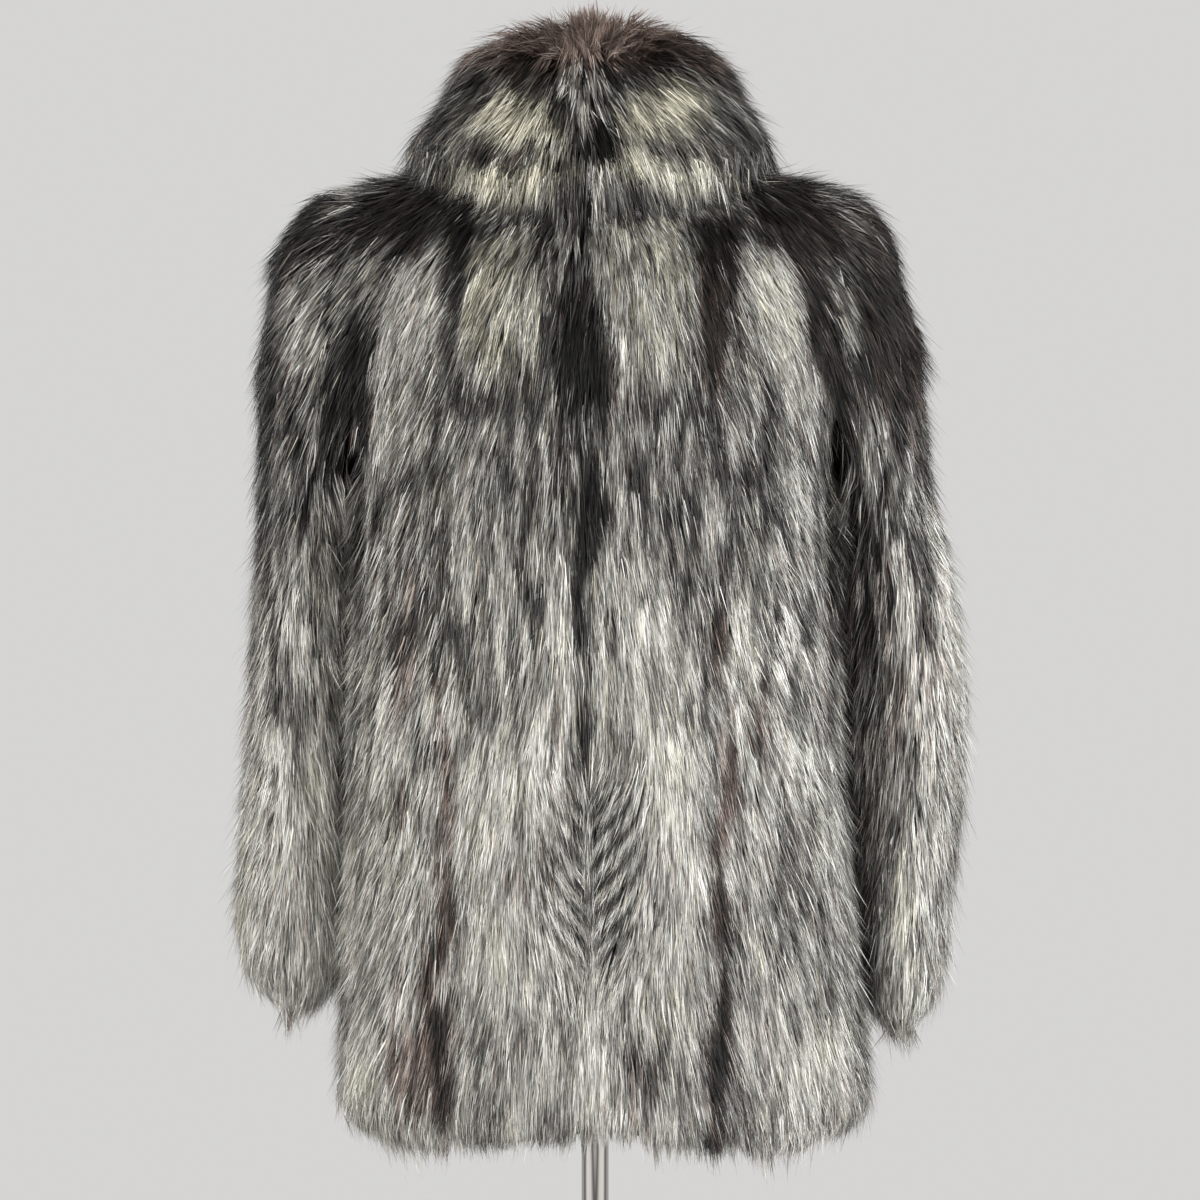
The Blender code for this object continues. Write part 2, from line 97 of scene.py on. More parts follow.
# The sleeves' outer sides hang a little off their plain solids: height, reach, and shift along X.
SWAY_COLUMNS = ("node", "z", "tall", "shift")
SWAYS = (
    ("sleeve_right", 1.290, 0.090, 0.014),
    ("sleeve_right", 0.985, 0.150, -0.013),
    ("sleeve_right", 0.760, 0.080, 0.011),
    ("sleeve_left", 1.320, 0.070, -0.006),
    ("sleeve_left", 1.080, 0.130, -0.006),
)
SHOULDER_STAND = {"sleeve_left": 0.006, "sleeve_right": -0.004}  # how far the pile stands up there
CUFF_RISE = 0.015  # the cuffs are cut higher at their outer sides
CUFF_TUCK = 0.012  # how far up inside its hair each cuff's skin ends
CREST_DRAW = 0.009  # the collar's outer face draws in this much towards its crest
COLLAR_DRAW = 0.007  # and this much at its right side
# The collar's lower edge: degrees round from the back, and the height its hair reaches down to.
COLLAR_TURNS = (0, 30, 60, 90, 120, 150, 180)
COLLAR_EDGE = (1.352, 1.360, 1.384, 1.400, 1.386, 1.346, 1.318)
COLLAR_FRINGE = 0.024  # the hair hangs this far below the edge
# Waves of the back's hem: middle, half width and rise.
HEM_WAVES = ((0.012, 0.075, 0.018), (-0.145, 0.045, -0.006), (0.155, 0.040, -0.006))

# Partings where the dark underfur shows on the back: kind, middle, half width and half height.
PARTING_COLUMNS = ("kind", "x", "z", "wide", "tall")
PARTINGS = (
    ("collar", -0.005, 1.402, 0.008, 0.002),
    ("collar", 0.004, 1.344, 0.002, 0.006),
    ("body", 0.010, 1.332, 0.002, 0.008),
)
PARTED = 0.85  # share of the hairs that a parting moves away; the rest are black there

# Locks that stand out from the outline: place, radius, and how far their tips are pulled.
TUFT_COLUMNS = ("node", "place", "radius", "pull")
TUFTS = (
    ("sleeve_right", (-0.268, 0.005, 1.232), 0.017, (-0.022, 0.0, -0.006)),
    ("sleeve_right", (-0.264, 0.020, 1.262), 0.012, (-0.010, 0.0, 0.0)),
    ("sleeve_left", (0.262, 0.010, 1.300), 0.016, (0.008, 0.0, -0.002)),
    ("sleeve_left", (0.272, 0.000, 1.215), 0.014, (0.007, 0.0, -0.003)),
)

# ---- Colour field ------------------------------------------------------------------------------
# Light runs from 0, black, to 1, silver white.  Warm is 1 for cream and -1 for brown.
BASE_LIGHT = {"body": 0.41, "sleeve": 0.37, "collar": 0.25, "stand": 0.20}
SKIRT_LIGHT = {"body": 0.30, "sleeve": 0.32, "collar": 0.0, "stand": 0.0}  # more towards the hem
PATCH_COLUMNS = ("where", "x", "z", "slant", "wide", "tall", "light", "warm", "strength")
PATCHES = (
    # the back's pale shoulder patches, inner pair and outer pair
    ("back", 0.069, 1.282, -0.06, 0.033, 0.084, 0.55, 0.50, 0.95),
    ("back", -0.037, 1.280, 0.05, 0.041, 0.090, 0.68, 0.30, 0.95),
    ("back", 0.144, 1.240, -0.20, 0.031, 0.090, 0.74, 0.00, 0.95),
    ("back", -0.146, 1.262, 0.26, 0.018, 0.085, 0.74, 0.25, 0.95),
    # dark bands between them
    ("back", 0.013, 1.240, 0.00, 0.025, 0.050, -0.10, -0.10, 1.00),
    ("back", 0.018, 1.312, 0.10, 0.016, 0.024, 0.48, 0.00, 0.90),
    ("back", -0.094, 1.275, -0.05, 0.016, 0.080, 0.06, -0.65, 0.95),
    ("back", -0.112, 1.240, 0.10, 0.012, 0.050, 0.46, 0.00, 0.60),
    ("back", 0.107, 1.285, -0.08, 0.011, 0.085, 0.10, -0.10, 0.90),
    ("back", 0.075, 1.193, 0.15, 0.040, 0.013, 0.20, -0.10, 0.80),
    ("back", -0.060, 1.193, -0.15, 0.045, 0.013, 0.18, -0.10, 0.80),
    # the yoke is dark towards the shoulders
    ("back", 0.155, 1.345, -0.30, 0.048, 0.032, -0.08, -0.38, 1.00),
    ("back", -0.165, 1.340, 0.30, 0.040, 0.042, -0.05, -0.38, 1.00),
    ("back", 0.189, 1.215, 0.00, 0.015, 0.060, -0.10, -0.15, 1.00),
    ("back", -0.188, 1.225, 0.14, 0.015, 0.095, 0.00, -0.30, 1.00),
    # pale middle of the skirt, brown flecks and pale hem
    ("back", 0.045, 0.860, 0.00, 0.050, 0.130, 0.84, 0.05, 0.70),
    ("back", -0.045, 0.870, 0.00, 0.045, 0.150, 0.85, 0.10, 0.70),
    ("back", -0.160, 0.820, 0.00, 0.024, 0.120, 0.46, 0.05, 0.60),
    ("back", 0.150, 1.020, 0.00, 0.014, 0.070, 0.44, -0.60, 0.75),
    ("back", 0.148, 0.890, 0.00, 0.007, 0.022, 0.24, -0.90, 0.80),
    ("back", 0.060, 0.985, 0.00, 0.008, 0.035, 0.34, -0.50, 0.60),
    ("back", -0.125, 0.960, 0.00, 0.007, 0.040, 0.28, -0.80, 0.70),
    ("back", -0.040, 0.690, 0.00, 0.012, 0.030, 0.40, -0.60, 0.60),
    ("back", 0.140, 0.685, 0.00, 0.030, 0.030, 0.40, -0.60, 0.60),
    ("back", 0.178, 0.690, 0.00, 0.016, 0.040, 0.80, 0.35, 0.60),
    ("back", -0.165, 0.680, 0.00, 0.030, 0.045, 0.84, 0.35, 0.70),
    # the sleeve heads are dark, the right one nearly all over
    ("sleeve", 0.245, 1.345, -0.30, 0.072, 0.045, -0.12, -0.35, 1.00),
    ("sleeve", 0.274, 1.230, 0.00, 0.023, 0.130, -0.15, -0.10, 1.00),
    ("sleeve", 0.201, 1.205, 0.00, 0.016, 0.080, -0.15, -0.15, 1.00),
    ("sleeve", 0.236, 1.262, 0.05, 0.013, 0.050, 0.66, 0.05, 0.85),
    ("sleeve", 0.245, 1.140, 0.00, 0.022, 0.035, 0.60, 0.05, 0.70),
    ("sleeve", 0.286, 1.090, 0.00, 0.012, 0.080, 0.20, -0.10, 0.60),
    ("sleeve", -0.235, 1.300, 0.10, 0.080, 0.075, -0.06, -0.60, 1.00),
    ("sleeve", -0.215, 1.325, 0.20, 0.014, 0.030, 0.44, -0.40, 0.60),
    ("sleeve", -0.240, 1.225, 0.25, 0.070, 0.044, -0.08, -0.80, 1.00),
    ("sleeve", -0.225, 1.155, 0.00, 0.020, 0.045, 0.46, 0.00, 0.80),
    ("sleeve", -0.262, 1.165, 0.00, 0.016, 0.040, 0.20, -0.30, 0.80),
    ("sleeve", -0.215, 1.080, 0.00, 0.026, 0.045, 0.14, -0.30, 0.90),
    ("sleeve", -0.212, 0.950, 0.05, 0.024, 0.150, 0.20, -0.30, 0.90),
    ("sleeve", -0.215, 0.780, 0.05, 0.018, 0.100, 0.26, -0.30, 0.80),
    ("sleeve", -0.240, 0.900, 0.00, 0.012, 0.060, 0.40, -0.50, 0.50),
    # painted sheen: the pale band down the right sleeve's outer side, where the window light falls
    ("sleeve", -0.283, 1.010, 0.00, 0.018, 0.110, 0.86, -0.05, 0.80),
    ("sleeve", 0.250, 0.800, 0.00, 0.050, 0.120, 0.90, 0.12, 0.70),
    ("sleeve", -0.260, 0.780, 0.00, 0.040, 0.100, 0.74, 0.10, 0.60),
    # the collar: cream bands round a dark, reddish crest
    ("collar", 0.000, 1.507, 0.00, 0.190, 0.048, 0.68, -1.00, 1.00),
    ("collar", 0.055, 1.452, 0.00, 0.032, 0.014, 0.10, -0.70, 0.90),
    ("collar", -0.050, 1.456, 0.00, 0.034, 0.014, 0.06, -0.70, 0.90),
    ("collar", -0.085, 1.480, 0.00, 0.026, 0.022, 0.24, -1.00, 0.70),
    ("collar", 0.000, 1.495, 0.00, 0.050, 0.036, 0.84, -1.00, 0.95),
    ("collar", 0.060, 1.415, 0.35, 0.037, 0.031, 0.84, 0.95, 0.95),
    ("collar", -0.055, 1.418, -0.55, 0.032, 0.034, 0.80, 0.90, 0.95),
    ("collar", 0.068, 1.388, 0.00, 0.040, 0.006, 0.14, -0.45, 0.85),
    ("collar", -0.062, 1.388, 0.00, 0.040, 0.008, 0.16, -0.45, 0.85),
    ("collar", 0.070, 1.366, 0.00, 0.062, 0.014, 0.88, 0.85, 0.95),
    ("collar", -0.060, 1.368, 0.00, 0.062, 0.015, 0.88, 0.50, 0.95),
    ("collar", -0.008, 1.370, 0.00, 0.024, 0.014, 0.66, 0.00, 0.90),
    ("collar", 0.006, 1.343, 0.20, 0.006, 0.012, -0.10, 0.00, 0.95),
    ("collar", 0.002, 1.425, 0.00, 0.018, 0.020, 0.46, -0.10, 0.80),
    ("collar", -0.005, 1.398, 0.00, 0.014, 0.009, -0.20, -0.20, 1.00),
    ("back", 0.010, 1.336, 0.10, 0.008, 0.014, -0.10, 0.00, 1.00),
    # painted shadow: the back's dark strips under the collar's fringe, at either side
    ("back", 0.100, 1.334, 0.10, 0.030, 0.010, 0.02, -0.20, 0.90),
    ("back", -0.100, 1.330, -0.10, 0.024, 0.012, 0.02, -0.40, 0.90),
    # the front, finished plainly with the same pelts
    ("front", 0.075, 1.235, 0.00, 0.032, 0.080, 0.82, 0.45, 0.90),
    ("front", -0.075, 1.235, 0.00, 0.032, 0.080, 0.82, 0.45, 0.90),
    ("front", 0.120, 1.290, 0.00, 0.014, 0.070, 0.14, -0.15, 0.85),
    ("front", -0.120, 1.290, 0.00, 0.014, 0.070, 0.14, -0.15, 0.85),
    ("front", 0.155, 1.225, 0.00, 0.022, 0.070, 0.80, 0.35, 0.80),
    ("front", -0.155, 1.225, 0.00, 0.022, 0.070, 0.80, 0.35, 0.80),
    ("front", 0.160, 1.345, 0.00, 0.040, 0.022, 0.08, -0.15, 0.85),
    ("front", -0.160, 1.345, 0.00, 0.040, 0.022, 0.08, -0.15, 0.85),
    ("front", 0.000, 1.180, 0.00, 0.018, 0.120, 0.16, -0.10, 0.80),
)
# Dark lines down the body: where, x, width, lowest and highest z, and how much light they take.
LINE_COLUMNS = ("where", "x", "wide", "low", "high", "takes")
LINES = (
    ("back", 0.005, 0.008, 0.930, 1.240, 0.50),
    ("back", 0.006, 0.020, 1.100, 1.230, 0.20),
    # painted shade, partly the fur's own brown: the next four lines lie in the folds where the back's
    # middle panel meets its side panels
    ("back", 0.116, 0.007, 0.640, 1.000, 0.30),
    ("back", 0.117, 0.010, 0.680, 0.850, 0.45),
    ("back", -0.098, 0.007, 0.640, 1.080, 0.30),
    ("back", -0.099, 0.010, 0.660, 0.820, 0.60),
    ("front", 0.000, 0.007, 0.640, 1.300, 0.40),
    # painted shade down the front's folds, as at the back: the next two lines
    ("front", 0.106, 0.008, 0.640, 1.020, 0.40),
    ("front", -0.112, 0.008, 0.640, 1.000, 0.40),
)
CHEVRON = {
    "x": 0.004, "pitch": 0.020, "rise": 1.10, "reach": 0.042, "low": 0.75, "high": 0.91,
    "takes": 0.50, "lean": 0.42, "shorter": 0.5,
}  # fmt: skip

# Families of shades in u: silver, cream and brown.
FAMILIES = {"silver": 0, "cream": 1, "brown": 2}
# Shades across each family, from dark to light: position in the family and linear colour.
SHADES = {
    "silver": ((0.0, (0.004, 0.0038, 0.0036)), (0.35, (0.082, 0.078, 0.073)),
               (0.65, (0.38, 0.370, 0.342)), (1.0, (0.88, 0.865, 0.81))),
    "cream": ((0.0, (0.008, 0.007, 0.006)), (0.35, (0.12, 0.108, 0.085)),
              (0.65, (0.45, 0.42, 0.325)), (1.0, (0.90, 0.865, 0.72))),
    "brown": ((0.0, (0.006, 0.0045, 0.004)), (0.35, (0.052, 0.038, 0.032)),
              (0.65, (0.205, 0.152, 0.130)), (1.0, (0.54, 0.44, 0.385))),
}  # fmt: skip
TIP_SHARE = 0.27  # how much of its band's colour a hair keeps at its tip
ROOT_COLOUR = (0.012, 0.010, 0.010)
HAIR_U = 0.0016  # half a hair's width in u
SILVER_AMONG_BLACK = {"sleeve": 0.50, "collar": 0.34, "body": 0.20}  # a guard hair's extra light


# ---- Stage -------------------------------------------------------------------------------------
CAMERA_PLACE = (-0.004, 1.75, 1.050)
CAMERA_LENS = 64.4
LAMP_COLUMNS = ("name", "place", "target", "size", "watts", "colour")
LAMPS = (
    ("key", (1.3, 2.6, 2.3), (0, 0, 1.0), (1.6, 1.6), 85, (1, 1, 1)),
    ("window", (-2.2, 0.9, 1.4), (0, 0, 1.0), (1.0, 1.8), 70, (0.94, 0.97, 1.0)),
    ("front_fill", (0.8, -2.6, 2.0), (0, 0, 1.05), (1.6, 1.6), 70, (1, 1, 1)),
)


# ---- Small helpers -----------------------------------------------------------------------------
def rows(names, table):
    """A table's rows, each with its columns by name."""
    return [dict(zip(names, row)) for row in table]


def unit(v):
    return v / np.maximum(np.linalg.norm(v, axis=-1, keepdims=True), 1e-9)


def ramp(low, high, x):
    """0 below low, 1 above high, and smooth between."""
    t = np.clip((x - low) / (high - low), 0.0, 1.0)
    return t * t * (3 - 2 * t)


def lattice(i, j, k, seed):
    """A repeatable number from 0 to 1 at each whole-numbered place."""
    h = (i * 374761393 + j * 668265263 + k * 2246822519 + seed * 3266489917) & 0xFFFFFFFF
    h = ((h ^ (h >> 13)) * 1274126177) & 0xFFFFFFFF
    return ((h ^ (h >> 16)) & 0xFFFFFF) / float(0xFFFFFF)


def noise(points, size, seed):
    """Smooth value noise from -1 to 1, with blobs of the given size along x, y and z."""
    q = points / np.array(size)
    base = np.floor(q).astype(np.int64)
    f = q - base
    f = f * f * (3 - 2 * f)
    total = np.zeros(len(points))
    for a in (0, 1):
        for b in (0, 1):
            for c in (0, 1):
                share = np.abs(1 - a - f[:, 0]) * np.abs(1 - b - f[:, 1]) * np.abs(1 - c - f[:, 2])
                total += share * lattice(base[:, 0] + a, base[:, 1] + b, base[:, 2] + c, seed)
    return total * 2 - 1


def ride(piece):
    """Put a piece on the one body."""
    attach(piece, "root")


def smooth(data):
    data.polygons.foreach_set("use_smooth", np.ones(len(data.polygons), bool))


def add_object(name, data, material):
    data.materials.append(material)
    made = bpy.data.objects.new(name, data)
    bpy.context.scene.collection.objects.link(made)
    return made


# ---- Node materials ----------------------------------------------------------------------------
class Nodes:
    """A material with short calls for its node tree."""

    def __init__(self, name, roughness, metallic=0.0, **sockets):
        self.material = bpy.data.materials.new(name)
        self.material.use_nodes = True
        self.tree = self.material.node_tree
        self.shader = self.tree.nodes["Principled BSDF"]
        self.shader.inputs["Roughness"].default_value = roughness
        self.shader.inputs["Metallic"].default_value = metallic
        for socket, value in sockets.items():
            self.shader.inputs[socket.replace("_", " ")].default_value = value

    def node(self, kind, **settings):
        made = self.tree.nodes.new(kind)
        for key, value in settings.items():
            setattr(made, key, value)
        return made

    def link(self, source, target):
        self.tree.links.new(source, target)

    def math(self, operation, a, b):
        made = self.node("ShaderNodeMath", operation=operation)
        for socket, value in zip(made.inputs, (a, b)):
            if isinstance(value, (int, float)):
                socket.default_value = value
            else:
                self.link(value, socket)
        return made.outputs[0]

    def ramp(self, value, low, high):
        made = self.node("ShaderNodeMapRange", interpolation_type="SMOOTHSTEP")
        self.link(value, made.inputs["Value"])
        made.inputs["From Min"].default_value = low
        made.inputs["From Max"].default_value = high
        return made.outputs["Result"]

    def mix(self, factor, a, b):
        made = self.node("ShaderNodeMix", data_type="RGBA")
        for socket, value in zip((made.inputs[0], made.inputs[6], made.inputs[7]), (factor, a, b)):
            if isinstance(value, tuple):
                socket.default_value = (*value, 1.0)
            elif isinstance(value, (int, float)):
                socket.default_value = value
            else:
                self.link(value, socket)
        return made.outputs[2]

    def texture(self, kind, scale, stretch=(1, 1, 1), **settings):
        place = self.node("ShaderNodeTexCoord")
        mapping = self.node("ShaderNodeMapping")
        mapping.inputs["Scale"].default_value = stretch
        self.link(place.outputs["Object"], mapping.inputs["Vector"])
        made = self.node(kind)
        for key, value in settings.items():
            made.inputs[key].default_value = value
        made.inputs["Scale"].default_value = scale
        self.link(mapping.outputs[0], made.inputs["Vector"])
        return made.outputs[0]

    def bump(self, height, strength, distance):
        """Raise the surface's shading by a height."""
        made = self.node("ShaderNodeBump")
        made.inputs["Strength"].default_value = strength
        made.inputs["Distance"].default_value = distance
        self.link(height, made.inputs["Height"])
        self.link(made.outputs[0], self.shader.inputs["Normal"])

    def stops(self, factor, colours):
        """A colour ramp with a stop for each (position, colour) pair."""
        made = self.node("ShaderNodeValToRGB")
        self.link(factor, made.inputs[0])
        ends = made.color_ramp.elements
        while len(ends) < len(colours):
            ends.new(0.5)
        for stop, (at, colour) in zip(ends, colours):
            stop.position, stop.color = at, (*colour, 1.0)
        return made.outputs[0]

    def colour(self, source):
        """Give the shader its colour, and hand back the finished material."""
        self.link(source, self.shader.inputs["Base Color"])
        return self.material


def fur_material():
    """Hair whose texture coordinates hold its shade in u and run along it in v."""
    made = Nodes("fox_guard_hair", 0.44, Specular_IOR_Level=0.20)
    place = made.node("ShaderNodeUVMap", uv_map="OFBake")
    split = made.node("ShaderNodeSeparateXYZ")
    made.link(place.outputs[0], split.inputs[0])
    u, v = split.outputs[0], split.outputs[1]
    shades = [
        ((FAMILIES[name] + 0.04 + 0.92 * at) / len(FAMILIES), colour)
        for name, family in SHADES.items()
        for at, colour in family
    ]
    band = made.stops(u, sorted(shades))
    tip = made.mix(TIP_SHARE, (0.012, 0.011, 0.011), band)
    hair = made.mix(made.ramp(v, 0.22, 0.50), ROOT_COLOUR, band)
    return made.colour(made.mix(made.ramp(v, 0.80, 0.97), hair, tip))


def shell_material():
    """Dark underfur, brown at the collar's crest."""
    made = Nodes("fox_underfur", 0.9, Specular_IOR_Level=0.2)
    streak = made.texture("ShaderNodeTexNoise", 1.0, stretch=(260, 260, 40), Detail=3.0)
    made.bump(streak, 0.5, 0.002)
    grey = made.mix(streak, (0.004, 0.0035, 0.0035), (0.026, 0.022, 0.020))
    brown = made.mix(streak, (0.045, 0.030, 0.027), (0.16, 0.115, 0.10))
    place = made.node("ShaderNodeTexCoord")
    split = made.node("ShaderNodeSeparateXYZ")
    made.link(place.outputs["Object"], split.inputs[0])
    return made.colour(made.mix(made.ramp(split.outputs[2], 1.42, 1.47), grey, brown))


def form_material():
    made = Nodes("form_jersey", 0.85, Specular_IOR_Level=0.25)
    knit = made.texture("ShaderNodeTexVoronoi", 1.0, stretch=(900, 900, 620))
    made.bump(knit, 0.35, 0.0004)
    return made.colour(made.mix(knit, (0.034, 0.033, 0.035), (0.016, 0.015, 0.017)))


def chrome_material():
    """Polished plating, with painted reflections: bands of light and dark down a tube, set by how far
    each face turns from the view.
    """
    made = Nodes("polished_chrome", 0.10, 1.0)
    haze = made.texture("ShaderNodeTexNoise", 1.0, stretch=(60, 60, 8), Detail=2.0)
    made.link(made.math("MULTIPLY", haze, 0.20), made.shader.inputs["Roughness"])
    edge = made.node("ShaderNodeLayerWeight")
    edge.inputs["Blend"].default_value = 0.5
    # painted reflection: a bright room's bands laid into the base colour by how much each face looks
    # at the view
    bands = ((0.0, 1.0), (0.025, 1.0), (0.055, 0.10), (0.10, 0.90), (0.22, 1.0), (0.36, 0.10),
             (0.60, 0.50), (0.85, 0.05), (1.0, 0.30))  # fmt: skip
    warm_painted_reflection = [(at, (level, 0.97 * level, 0.92 * level)) for at, level in bands]
    room = made.stops(edge.outputs["Facing"], warm_painted_reflection)
    return made.colour(made.mix(made.math("MULTIPLY", haze, 0.12), room, (0.80, 0.79, 0.77)))


# ---- The panels' outer faces -------------------------------------------------------------------
def panel_mesh(node):
    """Vertices and triangles of a CAD node, as arrays."""
    bm = bmesh.new()
    bm.from_mesh(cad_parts[node].data)
    bmesh.ops.remove_doubles(bm, verts=bm.verts, dist=1e-6)
    bmesh.ops.triangulate(bm, faces=bm.faces)
    points = np.array([v.co for v in bm.verts])
    faces = np.array([[v.index for v in f.verts] for f in bm.faces])
    bm.free()
    return points, faces


def face_facts(points, faces):
    """Centre, normal and area of each face."""
    a, b, c = (points[faces[:, k]] for k in range(3))
    across = np.cross(b - a, c - a)
    return (a + b + c) / 3, unit(across), np.linalg.norm(across, axis=1) / 2


def point_normals(points, faces):
    """Smooth normals, weighted by the faces' areas, and 0 where no face touches."""
    _, flat, area = face_facts(points, faces)
    smooth = np.zeros_like(points)
    for k in range(3):
        np.add.at(smooth, faces[:, k], flat * area[:, None])
    return unit(smooth)


def cuff_cut(points):
    """0 at the inner side of a cuff and 1 at its outer side."""
    return ramp(0.225, 0.290, np.abs(points[:, 0]))


def hung(node):
    """A panel's points where its pelt hangs, and its triangles."""
    points, faces = panel_mesh(node)
    moved = points.copy()
    outer = ramp(0.215, 0.262, np.abs(points[:, 0]))
    for row in rows(SWAY_COLUMNS, SWAYS):
        if row["node"] == node:
            fade = np.exp(-(((points[:, 2] - row["z"]) / row["tall"]) ** 2))
            moved[:, 0] += row["shift"] * outer * fade
    if node == "collar_fall":
        out = unit(points[:, :2])
        facing = np.clip((point_normals(points, faces)[:, :2] * out).sum(1), 0, 1)
        draw = CREST_DRAW * facing * ramp(1.435, 1.475, points[:, 2])
        moved[:, :2] -= out * draw[:, None]
        moved[:, 0] += COLLAR_DRAW * ramp(0.10, 0.15, -points[:, 0])
    if node in CUFF_Z:
        up = CUFF_TUCK + CUFF_RISE * cuff_cut(points)
        moved[:, 2] += up * (1 - ramp(0.70, 0.82, points[:, 2]))
    return moved, faces


def away(node, kind, centres, normals):
    """Whether each face looks away from the middle of its panel's tube."""
    middle = np.zeros_like(centres)
    middle[:, 2] = np.minimum(centres[:, 2], 1.20)
    if kind == "sleeve":
        side = 1 if node.endswith("left") else -1
        down = np.clip((1.16 - centres[:, 2]) / 0.1, 0, 1)
        flare = np.clip((1.06 - centres[:, 2]) / 0.36, 0, 1)
        middle[:, 0] = side * (0.206 + 0.034 * down + 0.012 * flare)
        middle[:, 1] = -0.020 * down
    if kind in ("collar", "stand"):
        middle[:, 2] = centres[:, 2] - 0.03
    facing = ((centres - middle) * normals).sum(1) > 0
    if kind == "stand":
        facing = (centres[:, :2] * normals[:, :2]).sum(1) < 0
    return facing


def whole_tree():
    """All the panels' faces in one tree, for casting rays at."""
    points, faces, start = [], [], 0
    for row in rows(FUR_COLUMNS, FUR):
        p, f = PANELS[row["node"]]
        points.append(p)
        faces.append(f + start)
        start += len(p)
    return BVHTree.FromPolygons(np.concatenate(points).tolist(), np.concatenate(faces).tolist())


def outer_faces(node, kind):
    """The triangles that show: outer ones with no other panel against them."""
    points, faces = PANELS[node]
    centres, normals, _ = face_facts(points, faces)
    keep = away(node, kind, centres, normals)
    for i in np.flatnonzero(keep):
        centre, normal = Vector(centres[i]), Vector(normals[i])
        hit = TREE.ray_cast(centre + normal * 0.0001, normal, HIDDEN_BY)
        keep[i] = hit[0] is None
    return faces[keep]


class Surface:
    """The showing faces of all panels, with smooth normals, for placing and tracing guides."""

    def __init__(self, parts):
        self.points, self.normals, self.faces, self.part = [], [], [], []
        start = 0
        for name, (points, faces) in parts.items():
            self.points.append(points)
            self.normals.append(point_normals(points, faces))
            self.faces.append(faces + start)
            self.part += [name] * len(faces)
            start += len(points)
        self.points, self.normals, self.faces = map(
            np.concatenate, (self.points, self.normals, self.faces)
        )
        self.part = np.array(self.part)
        self.tree = BVHTree.FromPolygons(self.points.tolist(), self.faces.tolist())

    def normal_at(self, face, place):
        """The smooth normal at each place, by its weights between the face's corners."""
        a, b, c = (self.points[self.faces[face, k]] for k in range(3))
        n = np.cross(b - a, c - a)
        size = np.maximum((n * n).sum(1), 1e-18)
        wb = (np.cross(c - a, place - a) * -n).sum(1) / size
        wc = (np.cross(b - a, place - a) * n).sum(1) / size
        weights = np.clip(np.stack([1 - wb - wc, wb, wc], 1), 0, 1)
        corner = self.normals[self.faces[face]]
        return unit((corner * weights[..., None]).sum(1))

    def sample(self, name, count, above=0.0):
        """Random places on one panel, even over its area."""
        high = self.points[self.faces][:, :, 2].mean(1) > above
        own = np.flatnonzero((self.part == name) & high)
        a, b, c = (self.points[self.faces[own, k]] for k in range(3))
        area = np.linalg.norm(np.cross(b - a, c - a), axis=1)
        steps = np.cumsum(area) / area.sum()
        picked = np.searchsorted(steps, (np.arange(count) + RNG.random(count)) / count)
        picked = np.minimum(picked, len(own) - 1)
        s, t = RNG.random((2, count))
        flip = s + t > 1
        s[flip], t[flip] = 1 - s[flip], 1 - t[flip]
        place = a[picked] + (b - a)[picked] * s[:, None] + (c - a)[picked] * t[:, None]
        return place, self.normal_at(own[picked], place)

    def nearest(self, places):
        """The nearest place on the panels, its normal, and how far off it is."""
        found = [self.tree.find_nearest(p) for p in places.tolist()]
        place = np.array([f[0] for f in found])
        face = np.array([f[2] for f in found])
        return place, self.normal_at(face, place), np.array([f[3] for f in found])


# ---- Directions, lengths and colours -----------------------------------------------------------
def herringbone(p):
    """How far the hair beside the spine leans in towards it, with its sign."""
    aside = p[:, 0] - CHEVRON["x"]
    span = ramp(CHEVRON["low"] - 0.03, CHEVRON["low"] + 0.05, p[:, 2])
    span = span * (1 - ramp(CHEVRON["high"], CHEVRON["high"] + 0.05, p[:, 2]))
    reach = np.exp(-((aside / CHEVRON["reach"]) ** 4))
    return -np.sign(aside) * ramp(0.000, 0.008, np.abs(aside)) * span * reach


def flow(kind, p, normals):
    """The way the hair lies at each place, along the surface."""
    x, y, z = p.T
    if kind == "collar":
        apex = APEX_Z - WHORL_DROP * np.exp(-((x / 0.075) ** 2)) * (y > 0)
        wanted = unit(np.stack([0.85 * (x - WHORL_X), 0.62 * y, z - apex], 1))
    elif kind == "stand":
        wanted = np.stack([0.2 * x, 0.2 * y, np.ones_like(z)], 1)
    else:
        fan = ramp(0.98, 1.36, z)[:, None]
        spread = 0.5 if kind == "body" else 0.1
        down = unit(np.stack([spread * x, 0 * y, -np.ones_like(z)], 1))
        fanned = unit(np.stack([x, 0.35 * y, z - 1.60], 1))
        wanted = unit(down * (1 - fan) + fanned * fan)
        wanted[:, 0] += CHEVRON["lean"] * np.where(y > 0, herringbone(p), 0.0)
    swirl = 0.16 * noise(p, (0.05, 0.05, 0.09), 5) + 0.10 * noise(p, (0.016, 0.016, 0.03), 6)
    side = np.cross(wanted, normals)
    wanted = wanted + side * swirl[:, None]
    along = wanted - normals * (wanted * normals).sum(1, keepdims=True)
    return unit(along)


def lowest(node, kind, p):
    """How far down the hair of a sleeve, the body or the collar may reach below each place."""
    x, y = p[:, 0], p[:, 1]
    ragged = RAGGED * noise(p, (0.022, 0.022, 1.0), 41)
    if kind == "sleeve":
        return CUFF_Z[node] + ragged + CUFF_RISE * cuff_cut(p)
    if kind == "body":
        waves = sum(rise * np.exp(-(((x - at) / wide) ** 2)) for at, wide, rise in HEM_WAVES)
        return HEM_Z + ragged + np.where(y > 0, waves, 0.0)
    turn = np.degrees(np.arctan2(np.abs(x), y))
    return np.interp(turn, COLLAR_TURNS, COLLAR_EDGE) - COLLAR_FRINGE


